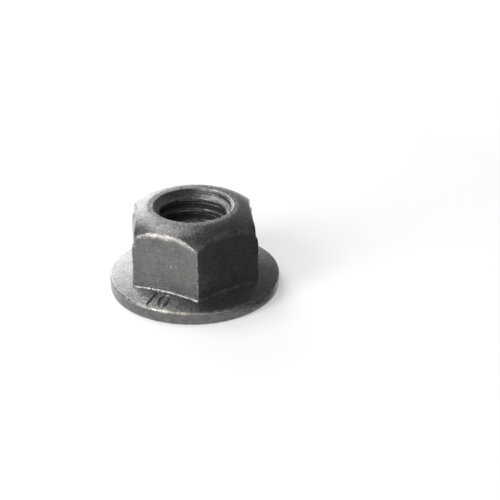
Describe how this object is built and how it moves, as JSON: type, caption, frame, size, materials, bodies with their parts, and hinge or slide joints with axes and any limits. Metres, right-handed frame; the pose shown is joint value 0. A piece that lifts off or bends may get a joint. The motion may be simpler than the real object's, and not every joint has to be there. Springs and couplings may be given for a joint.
{
  "type": "serrated flange nut",
  "caption": "Hexagon nut with a domed, crimped top, a conical flange and locking serrations in its bearing face, for a metric bolt.",
  "frame": {"origin": "centre of the bore in the plane of the bearing face, on which the nut stands", "axes": "+Z along the bore axis, from the bearing face up to the domed end; the hexagon has corners on the Y axis and flats facing +X and -X"},
  "size_m": [0.0178, 0.0178, 0.0091],
  "materials": {
    "phosphated_steel": "black manganese-phosphated and oiled forged steel, semi-matt, burnished bright on its edges"
  },
  "bodies": {
    "root": {"flange_nut": "phosphated_steel"}
  },
  "joints": []
}
